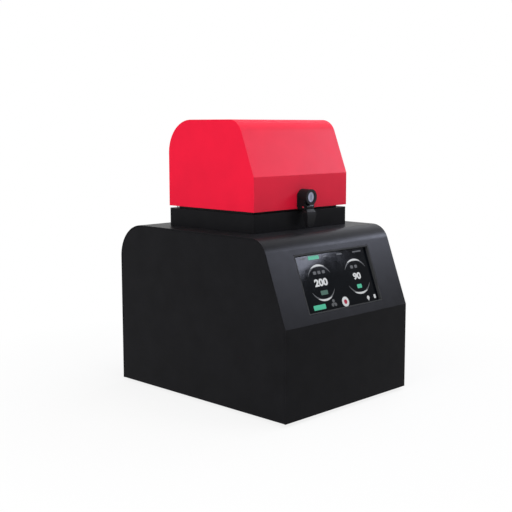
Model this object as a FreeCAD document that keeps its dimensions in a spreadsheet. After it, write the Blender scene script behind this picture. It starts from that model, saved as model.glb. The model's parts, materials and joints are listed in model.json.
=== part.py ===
import FreeCAD, Part
import math
import os
import Sketcher

# Bench-top resin wash station: a black sheet-metal body with a slanted touch panel, a collar
# with a hinged red lid over a magnetically stirred wash tank, and the drive and electronics
# below. Millimetres. X to the right seen from the front, Y to the back, Z up. The origin is the
# centre of the footprint, on the surface that the feet stand on.

SIZES = {
    # body: a bent wrap (front, slant, top, back) with a side panel let into each end
    "width": 270.0,
    "depth": 355.0,
    "body_height": 248.0,
    "foot_height": 5.0,
    "rear_proud": 3.0,
    "slant_rise": 119.0,
    "slant_run": 44.5,
    "slant_round": 30.0,
    "rear_round": 52.0,
    "bend_inside": 0.5,
    "sheet": 2.0,
    "seam": 0.2,
    "panel_fold": 12.0,
    # base tray, feet and fasteners
    "tray_height": 12.0,
    "tie_margin": 60.0,
    "tie_drop": 5.0,
    "vent_pitch": 9.0,
    "vent_width": 4.0,
    "vent_length": 60.0,
    "vent_margin": 20.0,
    "foot_radius": 12.0,
    "foot_inset": 34.0,
    "foot_well": 3.9,
    "screw_radius": 1.5,
    "screw_head": 2.9,
    "head_height": 1.5,
    "screw_length": 7.0,
    # collar and lid, which share one footprint
    "lid_width": 203.0,
    "lid_depth": 182.5,
    "lid_setback": 92.8,
    "collar_height": 27.0,
    "collar_inside": 1.0,
    "lid_gap": 3.5,
    "lid_height": 130.0,
    "lid_front_height": 49.5,
    "lid_run": 31.3,
    "lid_front_round": 26.0,
    "lid_rear_round": 50.0,
    "gasket_inset": 8.0,
    "gasket_width": 5.0,
    "frame_lip": 10.0,
    "frame_clear": 0.3,
    # well and wash tank
    "mouth_inset": 17.0,
    "mouth_round": 10.0,
    "mouth_step": 3.0,
    "well_clear": 0.5,
    "well_wall": 1.2,
    "well_flange": 3.5,
    "tank_clear": 1.5,
    "tank_seat": 0.8,
    "tank_wall": 2.0,
    "tank_floor": 3.0,
    "tank_rim": 2.0,
    "tank_rim_width": 5.2,
    # basket and its bail
    "basket_clear": 8.3,
    "basket_clear_front": 5.5,
    "basket_sheet": 1.2,
    "basket_round": 8.0,
    "basket_stand": 31.0,
    "basket_drop": 12.0,
    "slot_width": 4.0,
    "slot_pitch": 9.0,
    "slot_length": 34.0,
    "slot_start": 8.0,
    "slot_row_pitch": 46.0,
    "floor_slot_width": 8.0,
    "floor_slot_pitch": 14.0,
    "leg_width": 14.0,
    "ear_width": 14.0,
    "bail_rod": 1.75,
    "bail_bend": 3.0,
    "bail_clear": 0.3,
    "bail_gap": 1.5,
    "bail_hook": 5.0,
    "bail_reach": 58.0,
    "bail_rise": 5.5,
    # drive
    "motor_radius": 30.0,
    "motor_length": 50.0,
    "motor_screw_inset": 7.0,
    "tapping": 8.0,
    "motor_plate": 3.0,
    "motor_lift": 9.0,
    "plate_margin": 10.0,
    "plate_round": 8.0,
    "post_across": 52.0,
    "post_back": 34.0,
    "post_radius": 5.0,
    "pilot_radius": 11.0,
    "shaft_radius": 4.0,
    "shaft_engaged": 12.0,
    "running_gap": 0.06,
    "hub_radius": 35.0,
    "hub_height": 8.0,
    "hub_lift": 6.0,
    "hub_gap": 3.0,
    "magnet_radius": 6.0,
    "magnet_height": 4.0,
    "magnet_circle": 25.0,
    "pivot_radius": 3.0,
    "pivot_base": 2.0,
    "pivot_base_radius": 9.0,
    "pivot_proud": 4.0,
    "impeller_gap": 0.4,
    "impeller_disc": 6.0,
    "impeller_hub": 8.0,
    "blade_height": 11.0,
    "blade_thickness": 2.0,
    "blade_curve": 26.0,
    "blade_offset": 4.0,
    # touch panel in the slant
    "window_width": 160.0,
    "window_edge": 1.24,
    "window_start": 15.0,
    "window_depth": 4.5,
    "bezel_wall": 2.0,
    "bezel_flange": 6.0,
    "bezel_sheet": 1.6,
    "glass_thickness": 1.8,
    "lcd_thickness": 6.0,
    "bracket_lip": 18.0,
    # electronics on the tray
    "board_side_gap": 17.0,
    "board_post_gap": 6.05,
    "board_width": 80.0,
    "board_depth": 110.0,
    "board_lift": 8.0,
    "board_sheet": 1.6,
    "board_hole_inset": 5.0,
    "board_post_radius": 3.5,
    "supply_side_gap": 13.0,
    "supply_back_gap": 86.0,
    "supply_post_gap": 11.0,
    "supply_depth": 150.0,
    "supply_height": 38.0,
    "supply_slot": 6.0,
    "supply_slot_pitch": 18.0,
    "supply_slot_inset": 9.0,
    "supply_slot_deep": 2.0,
    "terminal_inset": 6.0,
    "terminal_depth": 12.0,
    "terminal_height": 16.0,
    "mains_radius": 3.0,
    "mains_bend": 6.0,
    "lead_radius": 2.2,
    "lead_bend": 12.0,
    # hinges
    "hinge_spacing": 120.0,
    "hinge_length": 40.0,
    "hinge_radius": 4.0,
    "hinge_pin": 2.5,
    "knuckle_gap": 0.15,
    "leaf": 2.0,
    "leaf_height": 22.0,
    "leaf_hole_pitch": 24.0,
    "leaf_hole_reach": 15.0,
    # lock on the lid's front, and the hook on the collar that it turns under
    "lock_rise": 17.5,
    "lock_proud": 17.0,
    "lock_radius": 11.5,
    "plug_sunk": 1.2,
    "lock_flange": 3.0,
    "lock_flange_width": 24.0,
    "lock_flange_height": 25.0,
    "lock_flange_drop": 5.0,
    "lock_flange_round": 5.0,
    "lock_neck": 8.0,
    "lock_nut": 1.8,
    "lock_nut_radius": 10.2,
    "lock_room": 27.0,
    "plug_radius": 7.5,
    "keyway_width": 1.4,
    "keyway_height": 8.0,
    "keyway_depth": 3.1,
    "cam_length": 15.0,
    "cam_half": 4.0,
    "cam_boss": 7.0,
    "cam_sheet": 2.0,
    "keeper_gap": 2.5,
    "keeper_start": 18.0,
    "keeper_width": 6.0,
    "keeper_reach": 6.0,
    "keeper_rise": 8.0,
    "keeper_nose": 3.4,
    # drop pull below the lock
    "pull_drop": 14.5,
    "pull_pin_proud": 11.0,
    "pull_pin_radius": 1.5,
    "pull_knuckle": 4.8,
    "pull_slot": 15.4,
    "pull_ear": 3.0,
    "pull_clear": 0.4,
    "pull_lift": 3.5,
    "pull_width": 20.0,
    "pull_tip": 12.0,
    "pull_tip_round": 4.5,
    "pull_tip_back": 1.0,
    "pull_tip_front": 5.0,
    "pull_foot": 6.0,
    "pull_back": 2.5,
    "pull_waist_back": 1.5,
    "pull_waist": 12.0,
    "pull_eye_front": 4.0,
    "pull_eye": 3.0,
    "pull_brow_front": 7.5,
    "pull_brow": 7.0,
    "pull_belly_front": 8.0,
    "pull_belly": 14.0,
    "pull_belly_in": 0.5,
    "pull_shoulder": 4.0,
    "pull_widest": 8.0,
    # lid switch
    "sensor_side_gap": 31.5,
    "sensor_inset": 5.0,
    "sensor_width": 20.0,
    "sensor_depth": 8.0,
    "sensor_height": 8.0,
    "sensor_magnet_width": 16.0,
    "sensor_magnet_depth": 6.0,
    "sensor_magnet_height": 4.0,
    # fan in the back wall
    "fan_size": 80.0,
    "fan_depth": 25.0,
    "fan_bore": 38.0,
    "fan_round": 4.0,
    "fan_pitch": 71.5,
    "fan_side_gap": 75.0,
    "fan_drop": 21.0,
    "stator_radius": 16.0,
    "strut_width": 4.0,
    "strut_sheet": 3.0,
    "bearing_radius": 3.0,
    "bearing_length": 5.0,
    "rotor_gap": 0.5,
    "rotor_tip_gap": 1.5,
    "rotor_blade": 1.6,
    "guard_sheet": 1.5,
    "guard_ring": 3.0,
    "guard_pitch": 8.0,
    "guard_arm": 8.4,
    "guard_ear": 4.0,
    # inlet and switch in the back wall
    "inlet_side_gap": 65.0,
    "inlet_rise": 37.0,
    "inlet_width": 27.0,
    "inlet_height": 19.5,
    "inlet_depth": 22.0,
    "inlet_pitch": 40.0,
    "inlet_flange": 2.0,
    "inlet_flange_width": 50.0,
    "inlet_flange_height": 24.0,
    "inlet_flange_round": 6.0,
    "recess_width": 24.0,
    "recess_height": 16.5,
    "recess_depth": 16.0,
    "pin_width": 2.0,
    "pin_height": 4.0,
    "pin_length": 10.0,
    "pin_offset": 2.0,
    "pin_pitch": 14.0,
    "switch_rise": 42.0,
    "switch_width": 19.0,
    "switch_height": 27.0,
    "switch_depth": 16.0,
    "switch_flange": 1.5,
    "switch_lip": 2.0,
    "switch_wall": 1.5,
    "switch_well": 12.0,
    "rocker_clear": 0.4,
    "rocker_end_clear": 1.1,
    "rocker_proud": 2.4,
    "rocker_flush": 0.2,
    "rocker_side": 5.0,
    "rocker_foot": 6.0,
    "rocker_heel": 7.0,
}


class Dim:
    """A size that carries its number together with the spreadsheet formula that gives it."""

    def __init__(self, number, formula):
        self.number = float(number)
        self.formula = formula

    def __float__(self):
        return self.number

    def __neg__(self):
        return 0 - self

    def __add__(self, other):
        return Dim(self.number + float(other), f"({self.formula} + {formula_of(other)})")

    def __radd__(self, other):
        return self + other

    def __sub__(self, other):
        return Dim(self.number - float(other), f"({self.formula} - {formula_of(other)})")

    def __rsub__(self, other):
        return Dim(float(other) - self.number, f"({formula_of(other)} - {self.formula})")

    def __mul__(self, other):
        return Dim(self.number * float(other), f"({self.formula} * {formula_of(other)})")

    def __rmul__(self, other):
        return self * other

    def __truediv__(self, other):
        return Dim(self.number / float(other), f"({self.formula} / {formula_of(other)})")


def formula_of(size):
    """The spreadsheet formula of a size, or a bare number as text."""
    return size.formula if isinstance(size, Dim) else repr(float(size))


def slope_of(rise, run):
    """Angle in degrees of a line with this rise and run."""
    degrees = math.degrees(math.atan(float(rise) / float(run)))
    return Dim(degrees, f"(atan({formula_of(rise)} / {formula_of(run)}) / 1deg)")


def tangent(angle):
    return Dim(math.tan(math.radians(float(angle))), f"tan({formula_of(angle)})")


def sine(angle):
    return Dim(math.sin(math.radians(float(angle))), f"sin({formula_of(angle)})")


class Sheet:
    """The driving dimensions, read by name; each name is an alias in the spreadsheet."""

    def __init__(self, document, sizes):
        self.cells = document.addObject("Spreadsheet::Sheet", "Sizes")
        for row, (alias, value) in enumerate(sizes.items(), start=1):
            self.cells.set(f"A{row}", alias)
            self.cells.set(f"B{row}", str(value))
            self.cells.setAlias(f"B{row}", alias)
            setattr(self, alias, Dim(value, f"Sizes.{alias}"))
        document.recompute()


doc = FreeCAD.newDocument("WashStation")
S = Sheet(doc, SIZES)
PARTS = {}

# --- levels and edges that several pieces share -------------------------------------------
Y_FRONT = -(S.depth + S.rear_proud) / 2
Y_BACK = Y_FRONT + S.depth
SIDE = S.width / 2
BASE_Z = S.foot_height
BODY_TOP = BASE_Z + S.body_height
KINK_Z = BODY_TOP - S.slant_rise
LID_SIDE = S.lid_width / 2
LID_FRONT = Y_FRONT + S.lid_setback
LID_BACK = LID_FRONT + S.lid_depth
CENTRE_Y = (LID_FRONT + LID_BACK) / 2
COLLAR_TOP = BODY_TOP + S.collar_height
LID_Z = COLLAR_TOP + S.lid_gap
LID_TOP = LID_Z + S.lid_height
WALL_BACK = Y_BACK - S.sheet
BEND = S.sheet + S.bend_inside
COLLAR_ROUND = S.sheet + S.collar_inside
TRAY_TOP = BASE_Z + S.sheet
PLATE_Z = TRAY_TOP + S.motor_lift + S.motor_length
PLATE_TOP = PLATE_Z + S.motor_plate
HUB_Z = PLATE_TOP + S.hub_lift
HUB_TOP = HUB_Z + S.hub_height
WELL_FLOOR = HUB_TOP + S.hub_gap
LOCK_Z = LID_Z + S.lock_rise
INLET_X = -SIDE + S.inlet_side_gap
INLET_Z = BASE_Z + S.inlet_rise
SWITCH_Z = INLET_Z + S.switch_rise
FAN_X = SIDE - S.fan_side_gap
FAN_Z = BODY_TOP - S.rear_round - S.fan_drop - S.fan_size / 2
CUT = 1.0  # how far a cut runs past the faces that it opens

AXES = {
    "+X": FreeCAD.Rotation(FreeCAD.Vector(0, 1, 0), 90),
    "-X": FreeCAD.Rotation(FreeCAD.Vector(0, 1, 0), -90),
    "+Y": FreeCAD.Rotation(FreeCAD.Vector(1, 0, 0), -90),
    "-Y": FreeCAD.Rotation(FreeCAD.Vector(1, 0, 0), 90),
    "+Z": FreeCAD.Rotation(),
    "-Z": FreeCAD.Rotation(FreeCAD.Vector(1, 0, 0), 180),
}
PLANE_SIGN = {"XY": 1, "XZ": -1, "YZ": 1}


# --- building blocks ----------------------------------------------------------------------
def drive(item, path, size):
    """Binds a property to a size, through the spreadsheet."""
    item.setExpression(path, formula_of(size))


def place(item, corner):
    for letter, size in zip("xyz", corner):
        drive(item, f"Placement.Base.{letter}", size)


def keep(label, item):
    """Names a finished sub-part; its label is its file name."""
    item.Label = label
    PARTS[label] = item
    return item


def box(low, high):
    item = doc.addObject("Part::Box", "Block")
    for side, bottom, top in zip(("Length", "Width", "Height"), low, high):
        drive(item, side, top - bottom)
    place(item, low)
    return item


def centred_box(centre, size):
    low = [middle - side / 2 for middle, side in zip(centre, size)]
    high = [middle + side / 2 for middle, side in zip(centre, size)]
    return box(low, high)


def cylinder(base, axis, radius, length):
    item = doc.addObject("Part::Cylinder", "Round")
    item.Placement.Rotation = AXES[axis]
    drive(item, "Radius", radius)
    drive(item, "Height", length)
    place(item, base)
    return item


def fuse(pieces):
    item = doc.addObject("Part::MultiFuse", "Joined")
    item.Shapes = pieces
    return item


def cut(base, tools):
    item = doc.addObject("Part::Cut", "Trimmed")
    item.Base = base
    item.Tool = tools[0] if len(tools) == 1 else fuse(tools)
    return item


def group(pieces):
    """Several separate solids in one sub-part."""
    item = doc.addObject("Part::Compound", "Set")
    item.Links = pieces
    return item


def screw(seat, axis, radius=S.screw_radius, head=S.screw_head, length=S.screw_length):
    """A pan-head screw whose head stands on the seat and faces along the axis."""
    back = axis.translate(str.maketrans("+-", "-+"))
    top = cylinder(seat, axis, head, S.head_height)
    shank = cylinder(seat, back, radius, length)
    return fuse([top, shank])


# sketch outlines: each returns a function that draws one closed loop
def at_point(sketch, geometry, vertex, point):
    """Holds a sketch point at a place given by two sizes."""
    for kind, size in zip(("DistanceX", "DistanceY"), point):
        index = sketch.addConstraint(Sketcher.Constraint(kind, -1, 1, geometry, vertex, float(size)))
        if isinstance(size, Dim):
            sketch.setExpression(f"Constraints[{index}]", size.formula)


def polygon(points):
    def draw(sketch):
        ends = points[1:] + points[:1]
        first = sketch.GeometryCount
        for start, end in zip(points, ends):
            line = Part.LineSegment(flat(start), flat(end))
            sketch.addGeometry(line)
        for step, start in enumerate(points):
            following = first + (step + 1) % len(points)
            sketch.addConstraint(Sketcher.Constraint("Coincident", first + step, 2, following, 1))
            at_point(sketch, first + step, 1, start)
    return draw


def flat(point):
    return FreeCAD.Vector(float(point[0]), float(point[1]), 0)


def lid_rectangle(inset, radius=None):
    """A rectangle this far inside the footprint that the collar and lid share."""
    sides = (-LID_SIDE + inset, LID_FRONT + inset, LID_SIDE - inset, LID_BACK - inset)
    return rectangle(*sides) if radius is None else rounded(*sides, radius)


def rectangle(left, bottom, right, top):
    return polygon([(left, bottom), (right, bottom), (right, top), (left, top)])


def rounded(left, bottom, right, top, radius):
    """A rectangle with round corners."""
    def draw(sketch):
        corners = [((left, bottom), 1, 1), ((right, bottom), -1, 1),
                   ((right, top), -1, -1), ((left, top), 1, -1)]
        first = sketch.GeometryCount
        for number, ((x, y), inward_x, inward_y) in enumerate(corners):
            centre = flat((x + inward_x * radius, y + inward_y * radius))
            ring = Part.Circle(centre, FreeCAD.Vector(0, 0, 1), float(radius))
            turn = math.pi * (1 + number / 2)
            arc = sketch.addGeometry(Part.ArcOfCircle(ring, turn, turn + math.pi / 2))
            limit = sketch.addConstraint(Sketcher.Constraint("Radius", arc, float(radius)))
            sketch.setExpression(f"Constraints[{limit}]", formula_of(radius))
        tangents = [((left, bottom + radius), (left + radius, bottom)),
                    ((right - radius, bottom), (right, bottom + radius)),
                    ((right, top - radius), (right - radius, top)),
                    ((left + radius, top), (left, top - radius))]
        for number, (start, end) in enumerate(tangents):
            at_point(sketch, first + number, 1, start)
            at_point(sketch, first + number, 2, end)
            following = (number + 1) % 4
            line = sketch.addGeometry(Part.LineSegment(flat(end), flat(tangents[following][0])))
            sketch.addConstraint(Sketcher.Constraint("Coincident", first + number, 2, line, 1))
            sketch.addConstraint(Sketcher.Constraint("Coincident", line, 2, first + following, 1))
    return draw


def circle(centre, radius):
    def draw(sketch):
        index = sketch.addGeometry(Part.Circle(flat(centre), FreeCAD.Vector(0, 0, 1), float(radius)))
        at_point(sketch, index, 3, centre)
        limit = sketch.addConstraint(Sketcher.Constraint("Radius", index, float(radius)))
        sketch.setExpression(f"Constraints[{limit}]", formula_of(radius))
    return draw


class Solid:
    """A PartDesign body, built feature by feature between levels in its own frame."""

    def __init__(self, label):
        self.body = doc.addObject("PartDesign::Body", label)
        self.planes = {item.Role: item for item in self.body.Origin.OriginFeatures}
        keep(label, self.body)

    def sketch(self, plane, level, outlines):
        sketch = self.body.newObject("Sketcher::SketchObject", "Outline")
        sketch.AttachmentSupport = [(self.planes[f"{plane}_Plane"], "")]
        sketch.MapMode = "FlatFace"
        drive(sketch, "AttachmentOffset.Base.z", PLANE_SIGN[plane] * level)
        for draw in outlines:
            draw(sketch)
        return sketch

    def pad(self, plane, low, high, outlines):
        start = low if PLANE_SIGN[plane] > 0 else high
        feature = self.body.newObject("PartDesign::Pad", "Pad")
        feature.Profile = self.sketch(plane, start, outlines)
        drive(feature, "Length", high - low)
        doc.recompute()
        return feature

    def pocket(self, plane, low, high, outlines):
        before = self.body.Shape.Volume
        start = high if PLANE_SIGN[plane] > 0 else low
        feature = self.body.newObject("PartDesign::Pocket", "Pocket")
        feature.Profile = self.sketch(plane, start, outlines)
        drive(feature, "Length", high - low)
        doc.recompute()
        if self.body.Shape.Volume >= before:
            raise RuntimeError(f"{self.body.Label}: a pocket removes nothing")
        return feature

    def fillet(self, radius, **place_of_edges):
        base = self.body.Tip
        names = [f"Edge{n}" for n, edge in enumerate(base.Shape.Edges, 1) if lies(edge, place_of_edges)]
        feature = self.body.newObject("PartDesign::Fillet", "Round")
        feature.Base = (base, names)
        drive(feature, "Radius", radius)
        doc.recompute()

    def shell(self, thickness, open_sides):
        base = self.body.Tip
        names = []
        for number, face in enumerate(base.Shape.Faces, 1):
            if any(lies(face, side) for side in open_sides):
                names.append(f"Face{number}")
        feature = self.body.newObject("PartDesign::Thickness", "Shell")
        feature.Base = (base, names)
        drive(feature, "Value", thickness)
        feature.Reversed = True
        feature.Join = 1
        doc.recompute()

    def repeat(self, feature, axis, spacing, count):
        """Repeats a feature along an axis, at one spacing."""
        pattern = self.body.newObject("PartDesign::LinearPattern", "Row")
        pattern.Originals = [feature]
        pattern.Direction = (self.planes[f"{axis}_Axis"], [""])
        pattern.Mode = "Spacing"
        drive(pattern, "Offset", spacing)
        pattern.Occurrences = count
        self.body.Tip = pattern
        doc.recompute()

    def tilt(self, base, angle):
        """Puts the whole body into a frame turned about X."""
        self.body.Placement.Rotation = FreeCAD.Rotation(FreeCAD.Vector(1, 0, 0), 1)
        drive(self.body, "Placement.Rotation.Angle", angle)
        place(self.body, base)


def lies(item, where):
    """Whether an edge or face keeps to the given x, y or z all over, or runs along an axis."""
    bounds = item.BoundBox
    spans = {"x": (bounds.XMin, bounds.XMax), "y": (bounds.YMin, bounds.YMax),
             "z": (bounds.ZMin, bounds.ZMax)}
    for letter, wanted in where.items():
        if letter == "along":
            others = [max(spans[name]) - min(spans[name]) for name in spans if name != wanted]
            if max(others) > 0.01 or spans[wanted][1] - spans[wanted][0] < 0.01:
                return False
        else:
            low, high = spans[letter]
            if abs(low - float(wanted)) > 0.01 or abs(high - float(wanted)) > 0.01:
                return False
    return True


def rod(points, radius, bend):
    """A round rod or cable along straight runs joined by tangent arcs."""
    path = [FreeCAD.Vector(*[float(size) for size in point]) for point in points]
    edges = []
    start = path[0]
    for before, corner, after in zip(path, path[1:], path[2:]):
        towards = (before - corner).normalize()
        onward = (after - corner).normalize()
        half = towards.getAngle(onward) / 2
        reach = float(bend) / math.tan(half)
        middle_way = (towards + onward).normalize()
        first = corner + towards * reach
        last = corner + onward * reach
        middle = corner + middle_way * (float(bend) / math.sin(half) - float(bend))
        edges.append(Part.LineSegment(start, first).toShape())
        edges.append(Part.Arc(first, middle, last).toShape())
        start = last
    edges.append(Part.LineSegment(start, path[-1]).toShape())
    spine = Part.Wire(edges)
    ring = Part.Circle(path[0], path[1] - path[0], float(radius)).toShape()
    return spine.makePipe(Part.Face(Part.Wire([ring])))


def feature_part(label, shape):
    item = doc.addObject("Part::Feature", label)
    item.Shape = shape
    item.Placement = FreeCAD.Placement()
    return keep(label, item)


# --- body ---------------------------------------------------------------------------------
SLANT = slope_of(S.slant_rise, S.slant_run)
SLANT_FLAT = S.slant_rise / sine(SLANT) - S.slant_round * tangent(SLANT / 2)
WINDOW_TOP = SLANT_FLAT - S.bezel_wall - S.bezel_flange - S.window_edge


def side_outline(inset):
    """The body's side view, drawn in by an inset at the front, slant, top and back."""
    low_turn = tangent((90 - SLANT) / 2)
    high_turn = tangent(SLANT / 2)
    return [
        (Y_FRONT + inset, BASE_Z),
        (Y_FRONT + inset, KINK_Z - inset * low_turn),
        (Y_FRONT + S.slant_run + inset * high_turn, BODY_TOP - inset),
        (Y_BACK - inset, BODY_TOP - inset),
        (Y_BACK - inset, BASE_Z),
    ]


def round_side(solid, inset):
    """Rounds the three upper corners of a body cut to the side outline."""
    radii = (BEND, S.slant_round - inset, S.rear_round - inset)
    for (y, z), radius in zip(side_outline(inset)[1:4], radii):
        solid.fillet(radius, along="x", y=y, z=z)


FAN_MIDDLE = (FAN_X, FAN_Z)
FAN_CORNERS = [(FAN_X + side * S.fan_pitch / 2, FAN_Z + up * S.fan_pitch / 2)
               for side in (-1, 1) for up in (-1, 1)]
INLET_SCREWS = [(INLET_X + side * S.inlet_pitch / 2, INLET_Z) for side in (-1, 1)]


def window_rectangle(margin):
    """A rectangle this far outside the panel window, in the slant's own frame."""
    half = S.window_width / 2 + margin
    return rectangle(-half, S.window_start - margin, half, WINDOW_TOP + margin)


def back_rectangle(level, wide, tall):
    """A rectangle on the back wall, centred above the mains inlet's place."""
    return rectangle(INLET_X - wide / 2, level - tall / 2, INLET_X + wide / 2, level + tall / 2)


def casing_wrap():
    solid = Solid("casing_wrap")
    solid.pad("YZ", -SIDE, SIDE, [polygon(side_outline(0))])
    round_side(solid, 0)
    solid.shell(S.sheet, [{"x": -SIDE}, {"x": SIDE}, {"z": BASE_Z}])
    mouth = lid_rectangle(S.mouth_inset - S.mouth_step)
    solid.pocket("XY", BODY_TOP - S.sheet - CUT, BODY_TOP + CUT, [mouth])
    inlet = back_rectangle(INLET_Z, S.inlet_width, S.inlet_height)
    switch = back_rectangle(SWITCH_Z, S.switch_width, S.switch_height)
    holes = [circle(centre, S.screw_radius) for centre in FAN_CORNERS + INLET_SCREWS]
    bore = circle(FAN_MIDDLE, S.fan_bore)
    solid.pocket("XZ", WALL_BACK - CUT, Y_BACK + CUT, [inlet, switch, bore] + holes)
    slant_pocket(solid, window_rectangle(S.bezel_wall + S.seam))


def slant_pocket(solid, outline):
    """Cuts through the slanted wall, square to it."""
    sketch = solid.sketch("XY", KINK_Z, [outline])
    sketch.AttachmentOffset.Rotation = FreeCAD.Rotation(FreeCAD.Vector(1, 0, 0), 1)
    drive(sketch, "AttachmentOffset.Rotation.Angle", SLANT)
    drive(sketch, "AttachmentOffset.Base.y", Y_FRONT)
    before = solid.body.Shape.Volume
    feature = solid.body.newObject("PartDesign::Pocket", "Window")
    feature.Profile = sketch
    drive(feature, "Length", 2 * S.sheet)
    doc.recompute()
    if solid.body.Shape.Volume >= before:
        raise RuntimeError("the window cuts nothing")


def side_panel(label, side):
    """A folded end panel, let in flush between the wrap's edges."""
    solid = Solid(label)
    inset = S.sheet + S.seam
    inner, outer = sorted((side * (SIDE - S.panel_fold), side * SIDE), key=float)
    solid.pad("YZ", inner, outer, [polygon(side_outline(inset))])
    round_side(solid, inset)
    solid.shell(S.sheet, [{"x": side * (SIDE - S.panel_fold)}, {"z": BASE_Z}])


def side_panels():
    side_panel("left_side_panel", -1)
    side_panel("right_side_panel", 1)


TRAY_SIDE = SIDE - S.sheet - S.seam
TRAY_FRONT = Y_FRONT + 2 * (S.sheet + S.seam)
TRAY_BACK = Y_BACK - 2 * (S.sheet + S.seam)
VENT_COUNT = 8
FOOT_CENTRES = [(side * (SIDE - S.foot_inset), end)
                for side in (-1, 1) for end in (Y_FRONT + S.foot_inset, Y_BACK - S.foot_inset)]
MOTOR_POSTS = [(side * S.post_across, CENTRE_Y + end * S.post_back) for side in (-1, 1) for end in (-1, 1)]
BOARD_LEFT = -SIDE + S.board_side_gap
BOARD_FRONT = CENTRE_Y - S.post_back - S.post_radius - S.board_post_gap - S.board_depth
BOARD_POSTS = [(BOARD_LEFT + across, BOARD_FRONT + back)
               for across in (S.board_hole_inset, S.board_width - S.board_hole_inset)
               for back in (S.board_hole_inset, S.board_depth - S.board_hole_inset)]
TIE_Y = [Y_FRONT + S.tie_margin, CENTRE_Y, Y_BACK - S.tie_margin]
TIE_Z = BASE_Z + S.tray_height - S.tie_drop


def base_tray():
    """The floor of the body: a folded tray with air slots at its front."""
    solid = Solid("base_tray")
    rim = BASE_Z + S.tray_height
    solid.pad("XY", BASE_Z, rim, [rectangle(-TRAY_SIDE, TRAY_FRONT, TRAY_SIDE, TRAY_BACK)])
    solid.shell(S.sheet, [{"z": rim}])
    holes = [circle(centre, S.screw_radius) for centre in FOOT_CENTRES + MOTOR_POSTS + BOARD_POSTS]
    solid.pocket("XY", BASE_Z - CUT, TRAY_TOP + CUT, holes)
    ties = [circle((y, TIE_Z), S.screw_radius) for y in TIE_Y]
    solid.pocket("YZ", -TRAY_SIDE - CUT, TRAY_SIDE + CUT, ties)
    middle = -(VENT_COUNT - 1) / 2 * S.vent_pitch
    low = TRAY_FRONT + S.vent_margin
    slot = rectangle(middle - S.vent_width / 2, low, middle + S.vent_width / 2, low + S.vent_length)
    first = solid.pocket("XY", BASE_Z - CUT, TRAY_TOP + CUT, [slot])
    solid.repeat(first, "X", S.vent_pitch, VENT_COUNT)


def feet():
    pads = []
    for x, y in FOOT_CENTRES:
        pad = cylinder((x, y, 0), "+Z", S.foot_radius, S.foot_height)
        well = cylinder((x, y, 0), "+Z", S.foot_well, S.foot_height / 2)
        bore = cylinder((x, y, 0), "+Z", S.screw_radius, S.foot_height)
        pads.append(cut(pad, [well, bore]))
    keep("rubber_feet", group(pads))
    keep("foot_screws", group([screw((x, y, S.foot_height / 2), "-Z") for x, y in FOOT_CENTRES]))


def panel_screws():
    """Screws that tie the tray's upturned sides to the side panels."""
    screws = []
    for y in TIE_Y:
        for side, axis in ((-1, "+X"), (1, "-X")):
            seat = (side * (TRAY_SIDE - S.sheet), y, TIE_Z)
            screws.append(screw(seat, axis, length=S.sheet + S.seam))
    keep("panel_screws", group(screws))


# --- collar, gasket, well and tank --------------------------------------------------------
HINGE_MIDDLES = [side * S.hinge_spacing / 2 for side in (-1, 1)]
LEAF_HOLES_X = [middle + end * S.leaf_hole_pitch / 2 for middle in HINGE_MIDDLES for end in (-1, 1)]
HINGE_Y = LID_BACK + S.hinge_radius
HINGE_Z = COLLAR_TOP + S.lid_gap / 2
FIXED_SCREW_Z = HINGE_Z - S.leaf_hole_reach
LID_SCREW_Z = HINGE_Z + S.leaf_hole_reach


def collar():
    solid = Solid("collar")
    solid.pad("XY", BODY_TOP, COLLAR_TOP, [lid_rectangle(0, COLLAR_ROUND)])
    solid.shell(S.sheet, [{"z": BODY_TOP}])
    mouth = lid_rectangle(S.mouth_inset, S.mouth_round)
    solid.pocket("XY", COLLAR_TOP - S.sheet - CUT, COLLAR_TOP + CUT, [mouth])
    holes = [circle((x, FIXED_SCREW_Z), S.screw_radius) for x in LEAF_HOLES_X]
    solid.pocket("XZ", LID_BACK - S.sheet - CUT, LID_BACK + CUT, holes)


def gasket():
    solid = Solid("collar_gasket")
    outer = lid_rectangle(S.gasket_inset, S.mouth_round)
    inner = lid_rectangle(S.gasket_inset + S.gasket_width, S.mouth_round - S.gasket_width)
    solid.pad("XY", COLLAR_TOP, LID_Z, [outer, inner])


WELL_INSET = S.mouth_inset + S.well_clear
TANK_INSET = WELL_INSET + S.well_wall + S.tank_clear
TANK_INNER = TANK_INSET + S.tank_wall
WELL_TOP = COLLAR_TOP + S.well_wall
TANK_Z = WELL_FLOOR + S.well_wall + S.tank_seat
TANK_FLOOR_TOP = TANK_Z + S.tank_floor
RIM_TOP = WELL_TOP + S.tank_rim


def flanged_vessel(label, outer, wall, levels, rim_outer):
    """A rectangular vessel that hangs by its rim; the levels are the floor's two and the rim's two."""
    floor_low, floor_high, rim_low, rim_high = levels
    outside = S.mouth_round - (outer - WELL_INSET)
    solid = Solid(label)
    solid.pad("XY", floor_low, rim_high, [lid_rectangle(outer, outside)])
    solid.pad("XY", rim_low, rim_high, [lid_rectangle(rim_outer, S.mouth_round)])
    solid.pocket("XY", floor_high, rim_high, [lid_rectangle(outer + wall, outside - wall)])


def tank_well():
    levels = (WELL_FLOOR, WELL_FLOOR + S.well_wall, COLLAR_TOP, WELL_TOP)
    flanged_vessel("tank_well", WELL_INSET, S.well_wall, levels, S.mouth_inset - S.well_flange)


def wash_tank():
    levels = (TANK_Z, TANK_FLOOR_TOP, WELL_TOP, RIM_TOP)
    flanged_vessel("wash_tank", TANK_INSET, S.tank_wall, levels, TANK_INSET - S.tank_rim_width)


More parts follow.
